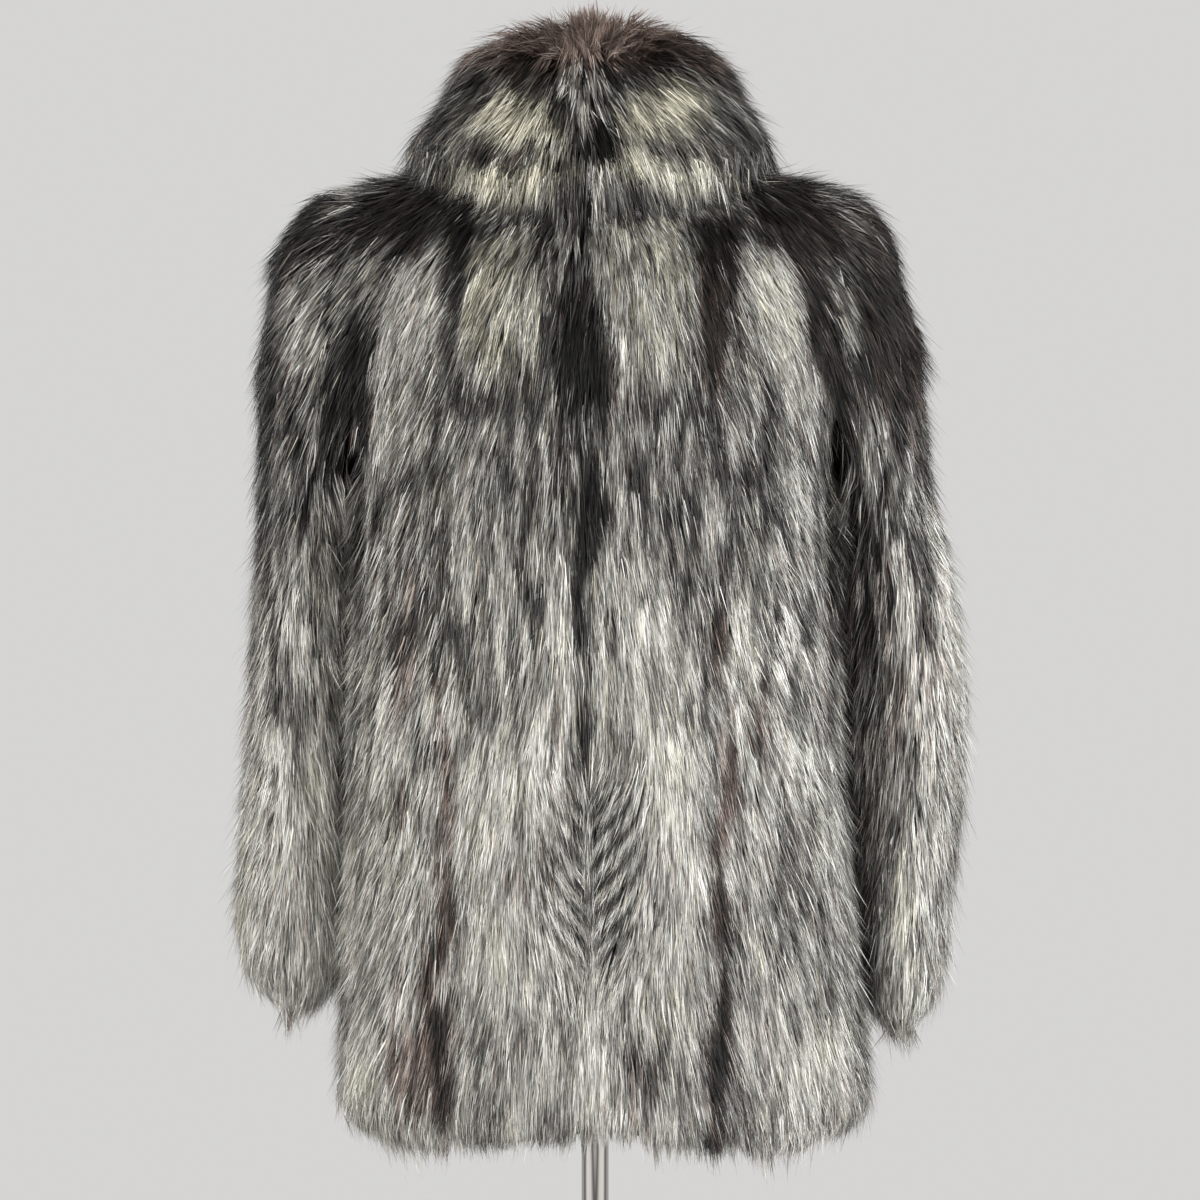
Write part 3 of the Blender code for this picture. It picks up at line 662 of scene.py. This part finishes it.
def where_of(kind, p):
    """The part of the colour tables that each place belongs to."""
    if kind == "body":
        return np.where(p[:, 1] >= 0, "back", "front")
    return np.full(len(p), "collar" if kind == "stand" else kind)


def fluff(p):
    """1 where the collar's crest is soft underfur, fading to 0 below it."""
    return ramp(1.452, 1.482, p[:, 2]) * np.exp(-((p[:, 0] / 0.10) ** 4))


def fanned(p):
    """Places bent so that noise over them runs in streaks out from the collar's crest."""
    spoke = p - np.array([WHORL_X, 0.0, APEX_Z - WHORL_DROP])
    far = np.linalg.norm(spoke, axis=1, keepdims=True)
    return 0.13 * spoke / np.maximum(far, 0.01) + 0.10 * far


def shade(kind, p):
    """Light and warmth of the fur at each place."""
    x, z = p[:, 0], p[:, 2]
    where = where_of(kind, p)
    light = BASE_LIGHT[kind] + SKIRT_LIGHT[kind] * ramp(1.24, 0.90, z)
    warm, calm = np.zeros(len(p)), np.zeros(len(p))
    wavy = p + 0.009 * np.stack([noise(p, (0.03, 0.03, 0.05), s) for s in (11, 12, 13)], 1)
    # most patches are the fur's own colour; the right sleeve's sheen and the shadow under the collar
    # are painted light and shade
    for patch in rows(PATCH_COLUMNS, PATCHES):
        middle = patch["x"] + patch["slant"] * (wavy[:, 2] - patch["z"])
        away_x = (wavy[:, 0] - middle) / patch["wide"]
        away_z = (wavy[:, 2] - patch["z"]) / patch["tall"]
        weight = patch["strength"] * np.exp(-((away_x**2 + away_z**2) ** 2.3))
        weight = np.where(where == patch["where"], weight, 0.0)
        calm = np.where(patch["light"] > 0.6, np.maximum(calm, weight), calm * (1 - weight))
        light += (patch["light"] - light) * weight
        warm += (patch["warm"] - warm) * weight
    broken = np.clip(0.75 + 1.1 * noise(p, (0.012, 0.012, 0.030), 31), 0.1, 1.4)
    # the lines off the middle are painted shade in the coat's folds, partly the fur's own brown
    for line in rows(LINE_COLUMNS, LINES):
        span = ramp(line["low"] - 0.05, line["low"] + 0.03, z)
        span = span * (1 - ramp(line["high"] - 0.05, line["high"] + 0.03, z))
        dark = span * np.exp(-(((wavy[:, 0] - line["x"]) / line["wide"]) ** 2))
        dark = np.where(where == line["where"], dark * broken, 0.0)
        light -= line["takes"] * dark
        warm -= (0.7 if abs(line["x"]) > 0.05 else 0.0) * dark
    aside = np.abs(x - CHEVRON["x"] + 0.004 * noise(p, (0.02, 0.02, 0.04), 32))
    phase = (z - CHEVRON["rise"] * aside) / CHEVRON["pitch"]
    span = ramp(CHEVRON["low"], CHEVRON["low"] + 0.05, z)
    span = span * (1 - ramp(CHEVRON["high"] - 0.03, CHEVRON["high"] + 0.01, z))
    wave = np.sin(2 * math.pi * phase)
    side = np.where(x < CHEVRON["x"], 1.0, 0.75) * np.exp(-((aside / CHEVRON["reach"]) ** 4))
    side = side * span * ramp(-0.2, 0.4, wave)
    light -= np.where(where == "back", CHEVRON["takes"] * side, 0.0)
    rough = (1 - 0.45 * calm) * (1.0 + 0.4 * ramp(1.05, 1.15, z) * (kind == "sleeve"))
    light += 0.14 * rough * noise(p, (0.028, 0.028, 0.07), 21)
    if kind == "collar":
        firm = 1 - 0.8 * fluff(p)
        dashes = np.clip(2.2 * noise(fanned(p), (0.008, 0.008, 0.008), 22), -1, 1)
        light += 0.24 * (1 - 0.25 * calm) * firm * dashes
        light += 0.14 * firm * noise(fanned(p), (0.004, 0.004, 0.004), 23)
    else:
        bold = ramp(0.86, 0.96, z) * (1 - ramp(1.16, 1.21, z))
        dashes = np.clip(2.2 * noise(p, (0.0065, 0.0065, 0.030), 22), -1, 1)
        light += (0.17 + 0.11 * bold) * rough * dashes
        light += 0.13 * rough * noise(p, (0.004, 0.004, 0.018), 23)
    warm += 0.25 * noise(p, (0.03, 0.03, 0.06), 24)
    return light, warm


# ---- Hairs -------------------------------------------------------------------------------------
def trace(kind, place, normal, length):
    """Guides over the panels: points and normals at each step, [step][guide]."""
    points, normals, ways = [place], [normal], [flow(kind, place, normal)]
    for _ in range(GUIDE_STEPS):
        step = points[-1] + ways[-1] * (length / GUIDE_STEPS)[:, None]
        near, near_normal, off = SURFACE.nearest(step)
        beyond = step - near
        straight_off = near_normal * (beyond * near_normal).sum(1)[:, None]
        beyond = np.linalg.norm(beyond - straight_off, axis=1)
        bend = (near_normal * normals[-1]).sum(1)
        held = ((off < GUIDE_SNAP) & (beyond < EDGE_SLACK) & (bend > SHARPEST_BEND))[:, None]
        here = np.where(held, near, step)
        lean = np.where(held, near_normal, normals[-1])
        hanging = unit(ways[-1] + DROOP[kind] * np.array([0.0, 0.0, -1.0]))
        way = np.where(held, flow(kind, here, lean), hanging)
        points.append(here)
        normals.append(lean)
        ways.append(way)
    return np.array(points), np.array(normals), np.array(ways)


def at_share(track, share):
    """A guide's value part of the way along it, for each hair."""
    place = np.clip(share, 0, 0.9999) * GUIDE_STEPS
    low = place.astype(int)
    part = (place - low)[:, None]
    own = np.arange(track.shape[1])
    return track[low, own] * (1 - part) + track[low + 1, own] * part


def crevice(place, normal):
    """How deep in the fold between two panels each place lies, from 0 to 1."""
    out = np.zeros(len(place))
    for i, (p, n) in enumerate(zip(place.tolist(), normal.tolist())):
        p, n = Vector(p), Vector(n)
        hit = TREE.ray_cast(p + n * 0.004, n, FOLD_REACH)
        if hit[0] is not None:
            out[i] = 1 - hit[3] / FOLD_REACH
    return out


def tufted(node, place):
    """How far the tips are pulled out into locks."""
    pull = np.zeros_like(place)
    for tuft in rows(TUFT_COLUMNS, TUFTS):
        if tuft["node"] == node:
            off = np.linalg.norm(place - np.array(tuft["place"]), axis=1) / tuft["radius"]
            pull += np.exp(-(off**2))[:, None] * np.array(tuft["pull"])
    return pull


def lying_guides(row):
    """Guides that lie along a panel, with how far each is lifted out of a fold."""
    node, kind = row["node"], row["kind"]
    count = row["hairs"] // CLUMP
    place, normal = SURFACE.sample(node, count)
    length = row["length"] * (0.85 + 0.3 * RNG.random(count))
    way = flow(kind, place, normal)
    if node == "back_middle":
        length *= 1 - CHEVRON["shorter"] * np.abs(herringbone(place))
    if kind != "stand":
        room = place[:, 2] - lowest(node, kind, place) + 0.018 * RNG.random(count) ** 2
        length = np.minimum(length, room / np.maximum(-way[:, 2], 0.15))
    keep = length > SHORTEST
    place, normal, length = place[keep], normal[keep], length[keep]
    fold = crevice(place, normal) if kind in ("body", "sleeve") else np.zeros(len(place))
    top = SHOULDER_STAND.get(node, 0.0) * ramp(1.30, 1.36, place[:, 2])
    armpit = np.exp(-(((place[:, 2] - ARMPIT_Z) / ARMPIT_TALL) ** 2))
    outwards = np.sign(place[:, 1]) * fold * (FOLD_OUT + ARMPIT_OUT * armpit)
    over = (1 if kind == "body" else -1) * np.sign(place[:, 0]) * fold * ARMPIT_OVER * armpit
    lift = np.stack([over, outwards, 0 * fold], 1)
    lift = lift + normal * (0.006 * RNG.random(len(place)) ** 2 + top)[:, None]
    track = trace(kind, place, normal, length)
    return (*track, lift + tufted(node, track[0][-1]))


def crest_guides():
    """Guides that spring up from the collar's crest, round the whorl, and fall over it."""
    count = CREST_HAIRS // CLUMP
    root, normal = SURFACE.sample("collar_fall", 8 * count, CREST_Z - 0.04)
    near = np.exp(-((root[:, 0] / 0.085) ** 2)) * (root[:, 1] > 0)
    high = RNG.permutation(np.flatnonzero(root[:, 2] > CREST_Z - 0.014 * near))[:count]
    root, normal, near = root[high], normal[high], near[high][:, None]
    out = unit(root * np.array([1.0, 1.0, 0.0]))
    spread = np.clip((root[:, :1] - WHORL_X) / 0.05, -1.5, 1.5) * np.array([1.0, 0.0, 0.0])
    length = (0.026 + 0.034 * RNG.random(len(high)))[:, None] * (1 - 0.1 * near)
    up = np.array([0.0, 0.0, 1.0])
    rise = out * (0.65 - 0.25 * near) + up * (0.45 + 0.35 * near) + 0.6 * near * spread
    rise = unit(rise + RNG.normal(0, 0.20, (len(high), 3)))
    drop = out * (0.40 * near - 0.15) - up * (1.30 - 0.75 * near)
    steps = np.linspace(0, 1, GUIDE_STEPS + 1)
    start = root - 0.010 * normal
    points = np.array([start + length * (t * rise + t * t * drop) for t in steps])
    ways = np.array([unit(rise + 2 * t * drop) for t in steps])
    normals = np.array([unit(normal - w * (normal * w).sum(1)[:, None]) for w in ways])
    return points, normals, ways, np.zeros((len(high), 3))


def parted(kind, root, middle, tip):
    """Which hairs would cross a parting, tried at places along both their halves."""
    crosses = np.zeros(len(tip), bool)
    halves = ((root, middle), (middle, tip))
    tried = [low + (high - low) * share for low, high in halves for share in np.linspace(0.1, 1.0, 6)]
    for row in rows(PARTING_COLUMNS, PARTINGS):
        if row["kind"] != kind:
            continue
        for at in tried:
            across, up = (at[:, 0] - row["x"]) / row["wide"], (at[:, 2] - row["z"]) / row["tall"]
            crosses |= (across**2 + up**2 < 1) & (at[:, 1] > 0)
    return crosses


def hair_arrays(kind, guides):
    """Corners [hair][4], shade u and softness of each hair, for a set of guides."""
    points, normals, ways, lift = guides
    clumps = len(lift)
    total = clumps * CLUMP
    points, normals, ways = (np.repeat(t, CLUMP, axis=1) for t in (points, normals, ways))
    lift = np.repeat(lift, CLUMP, axis=0)
    guard = RNG.random(total) < GUARD_SHARE
    radius = CLUMP_RADIUS * np.sqrt(RNG.random(total))
    turn = 2 * math.pi * RNG.random(total)
    aside, ahead = (radius * np.cos(turn))[:, None], (2.5 * radius * np.sin(turn))[:, None]
    reach = 0.80 + 0.22 * RNG.random(total)

    def point(share, height, gather):
        """Each hair's place part of the way along its guide, and the directions there."""
        here, lean, along = (at_share(t, share) for t in (points, normals, ways))
        side = np.cross(along, lean)
        place = here + side * aside * gather + along * ahead + lean * height[:, None]
        return place, side, lean

    long = np.linalg.norm(np.diff(points, axis=0), axis=2).sum(0)
    low = {"stand": 0.12, "crest": 0.0}.get(kind, 0.28) * long
    finer = np.clip(long / 0.045, 0.5, 1.0)
    middle_height = -0.001 - 0.006 * RNG.random(total) + np.where(guard, 0.004, 0.0)
    proud = 0.004 + 0.009 * RNG.random(total)
    tip_height = -0.002 + 0.005 * RNG.random(total) + np.where(guard, proud, 0.0)
    root, *_ = point(0.0 * reach, -low, 1.0)
    middle, side, lean = point(0.52 * reach, middle_height, 0.85)
    tip, *_ = point(reach, tip_height, 0.40)
    middle = middle + 0.55 * lift
    tip = tip + lift + np.repeat(RNG.normal(0, 0.0014, (clumps, 3)), CLUMP, 0)
    tip = tip + RNG.normal(0, 0.0011, (total, 3))
    twist = RNG.normal(0, 0.5, total)[:, None]
    blade = unit(side * np.cos(twist) + lean * np.sin(twist))
    half = np.where(guard, GUARD_HALF, UNDER_HALF) * (0.7 + 0.6 * RNG.random(total)) * finer
    if kind == "crest":
        half *= 0.9
    left, right = middle - blade * half[:, None], middle + blade * half[:, None]

    light, warm = shade("collar" if kind == "crest" else kind, tip + 0.35 * (middle - tip))
    if kind == "collar":
        light = np.minimum(light, shade(kind, middle)[0] + 0.20)
    loose = np.repeat(RNG.normal(0, 0.09, clumps), CLUMP) + RNG.normal(0, 0.135, total)
    soft = fluff(tip) if kind in ("collar", "crest") else np.zeros(total)
    vary = 0.7 + 0.7 * ramp(-0.05, 0.25, light) - 0.4 * ramp(0.45, 0.75, light)
    light = light + loose * vary * (1 - 0.7 * soft)
    silver = SILVER_AMONG_BLACK.get(kind, 0.0) * (1 - ramp(0.1, 0.35, light))
    light = np.where(guard, light - 0.08 + silver, light)
    warm = warm + RNG.normal(0, 0.22, total)
    family = np.where(warm > 0.33, 1, np.where(warm < -0.33, 2, 0))
    u = (family + 0.04 + 0.92 * np.clip(light, 0, 1)) / len(FAMILIES)
    corners = np.clip(np.stack([root, left, right, tip], 1), -BOUND, BOUND)
    crosses = parted(kind, root, middle, tip)
    u = np.where(crosses, 0.04 / len(FAMILIES), u)
    kept = ~crosses | (RNG.random(total) > PARTED)
    return corners[kept], u[kept], soft[kept]


def hair_mesh(name, corners, u, soft):
    """Each hair is a slim kite of two triangles, bent across its widest place.

    A soft hair is underfur: it has one brown all along, so v keeps away from the root and the tip.
    """
    total = len(corners)
    data = bpy.data.meshes.new(name)
    data.vertices.add(4 * total)
    data.vertices.foreach_set("co", corners.astype(np.float32).ravel())
    pattern = np.array([0, 2, 1, 1, 2, 3])
    loops = (np.arange(total)[:, None] * 4 + pattern).ravel()
    data.loops.add(6 * total)
    data.loops.foreach_set("vertex_index", loops.astype(np.int32))
    data.polygons.add(2 * total)
    data.polygons.foreach_set("loop_start", np.arange(0, 6 * total, 3, dtype=np.int32))
    across = np.array([0, HAIR_U, -HAIR_U, -HAIR_U, HAIR_U, 0])
    along = np.array([0.0, 0.5, 0.5, 0.5, 0.5, 1.0])
    along = 0.5 + (along - 0.5) * np.where(along < 0.5, 1 - soft[:, None], 1 - 0.4 * soft[:, None])
    uv = np.stack([u[:, None] + across, along], 2)
    data.uv_layers.new(name="OFBake").data.foreach_set("uv", uv.astype(np.float32).ravel())
    data.update(calc_edges=True)
    smooth(data)
    return data


# ---- Shells ------------------------------------------------------------------------------------
def shell_mesh(name, points, faces, outer):
    """The panel's wall, with its outer face moved in to where the underfur closes."""
    moved = points - point_normals(points, outer) * SHELL_DEPTH
    data = bpy.data.meshes.new(name)
    data.from_pydata(moved.tolist(), [], faces.tolist())
    smooth(data)
    return data


# ---- Form, stand and stage ---------------------------------------------------------------------
def smooth_copy(node, name, material, levels):
    """A CAD node's mesh under a new name, rounded by subdivision."""
    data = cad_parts[node].data.copy()
    data.materials.clear()
    made = add_object(name, data, material)
    bm = bmesh.new()
    bm.from_mesh(data)
    bmesh.ops.remove_doubles(bm, verts=bm.verts, dist=1e-6)
    bm.to_mesh(data)
    bm.free()
    smooth(data)
    rounder = made.modifiers.new("rounder", "SUBSURF")
    rounder.render_levels = rounder.levels = levels
    return made


def turned(name, profile, material, steps=96):
    """A turned piece from (radius, z) pairs, closed on its axis or round its bore."""
    bm = bmesh.new()
    rings = []
    for radius, z in profile:
        if radius == 0:
            rings.append([bm.verts.new((0, 0, z))] * steps)
            continue
        turns = [2 * math.pi * k / steps for k in range(steps)]
        rings.append([bm.verts.new((radius * math.cos(t), radius * math.sin(t), z)) for t in turns])
    pairs = list(zip(rings, rings[1:]))
    if profile[0][0] > 0:
        pairs.append((rings[-1], rings[0]))
    for low, high in pairs:
        for j in range(steps):
            k = (j + 1) % steps
            bm.faces.new(tuple(dict.fromkeys((low[j], low[k], high[k], high[j]))))
    bmesh.ops.recalc_face_normals(bm, faces=bm.faces)
    data = bpy.data.meshes.new(name)
    bm.to_mesh(data)
    bm.free()
    smooth(data)
    data.set_sharp_from_angle(angle=math.radians(50))
    return add_object(name, data, material)


def rounded_rim(radius, high, edge, steps):
    """Profile of an upper edge rounded by a quarter circle."""
    arc = [math.pi / 2 * k / steps for k in range(steps + 1)]
    return [(radius - edge + edge * math.cos(t), high - edge + edge * math.sin(t)) for t in arc]


def rounded_disc(radius, low, high, edge):
    """Profile of a disc with a rounded upper edge and a small chamfer below."""
    rim = rounded_rim(radius, high, edge, 5)
    return [(0, low), (radius - 0.0005, low), (radius, low + 0.0005), *rim, (0, high)]


def build_stand(chrome):
    """The turned pieces of the stand, each to its CAD node's radius and heights."""

    def span(node):
        low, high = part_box(node)
        return high.x, low.z, high.z

    radius, low, high = span("base_plate")
    pieces = [("base_disc", "base_plate", rounded_disc(radius, low, high, 0.003))]
    radius, low, high = span("pole")
    pieces.append(("pole_tube", "pole", rounded_disc(radius, low, high, 0.0008)))
    bore = radius + 0.0003
    radius, low, high = span("base_boss")
    top = rounded_rim(radius, high, 0.004, 4)
    pieces.append(("pole_socket", "base_boss", [(bore, low), (radius, low), *top, (bore, high)]))
    radius, low, high = span("pole_flange")
    pieces.append(("form_flange", "pole_flange", rounded_disc(radius, low, high, 0.001)))
    for name, node, profile in pieces:
        made = turned(name, profile, chrome)
        ride(made)
        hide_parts(node)


def build_stage():
    """A pale floor just under the base, and an even, pale room."""
    bpy.ops.mesh.primitive_circle_add(
        vertices=96, radius=1.15, fill_type="NGON", location=(0, 0, -0.0005)
    )
    floor = bpy.context.object
    floor.name = "studio_floor"
    paint = Nodes("pale_floor", 0.7)
    grain = paint.texture("ShaderNodeTexNoise", 40.0, Detail=2.0)
    pale = paint.mix(grain, (0.40, 0.397, 0.39), (0.43, 0.427, 0.42))
    floor.data.materials.append(paint.colour(pale))
    world = bpy.data.worlds.new("studio")
    bpy.context.scene.world = world
    world.use_nodes = True
    room = world.node_tree.nodes["Background"]
    room.inputs["Color"].default_value = (0.70, 0.695, 0.685, 1.0)
    room.inputs["Strength"].default_value = 0.95


def add_light(name, place, target, size, watts, colour):
    lamp = bpy.data.lights.new(name, "AREA")
    lamp.shape = "RECTANGLE"
    lamp.size, lamp.size_y = size
    lamp.energy, lamp.color = watts, colour
    made = bpy.data.objects.new(name, lamp)
    made.location = place
    made.rotation_euler = (Vector(target) - Vector(place)).to_track_quat("-Z", "Y").to_euler()
    bpy.context.scene.collection.objects.link(made)


def build_camera():
    camera = bpy.data.cameras.new("camera")
    camera.lens, camera.sensor_width = CAMERA_LENS, 36.0
    made = bpy.data.objects.new("camera", camera)
    made.location = CAMERA_PLACE
    made.rotation_euler = (math.pi / 2, 0, math.pi)
    bpy.context.scene.collection.objects.link(made)
    bpy.context.scene.camera = made


# ---- Everything --------------------------------------------------------------------------------
PANELS = {row["node"]: hung(row["node"]) for row in rows(FUR_COLUMNS, FUR)}
TREE = whole_tree()
OUTER = {row["node"]: outer_faces(row["node"], row["kind"]) for row in rows(FUR_COLUMNS, FUR)}
SURFACE = Surface({name: (PANELS[name][0], faces) for name, faces in OUTER.items()})

fur_paint, shell_paint = fur_material(), shell_material()
for row in rows(FUR_COLUMNS, FUR):
    node = row["node"]
    hairs = hair_arrays(row["kind"], lying_guides(row))
    if row["kind"] == "collar":
        hairs = [np.concatenate(both) for both in zip(hairs, hair_arrays("crest", crest_guides()))]
    hair = add_object(f"{node}_hair", hair_mesh(f"{node}_hair", *hairs), fur_paint)
    ride(hair)
    points, faces = PANELS[node]
    skin = shell_mesh(f"{node}_skin", points, faces, OUTER[node])
    shell = add_object(f"{node}_skin", skin, shell_paint)
    ride(shell)
    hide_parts(node)

form = smooth_copy("form_torso", "form_body", form_material(), 2)
ride(form)
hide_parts("form_torso")
build_stand(chrome_material())

build_stage()
build_camera()
for lamp in rows(LAMP_COLUMNS, LAMPS):
    add_light(**lamp)
bpy.context.scene.view_settings.view_transform = "Standard"
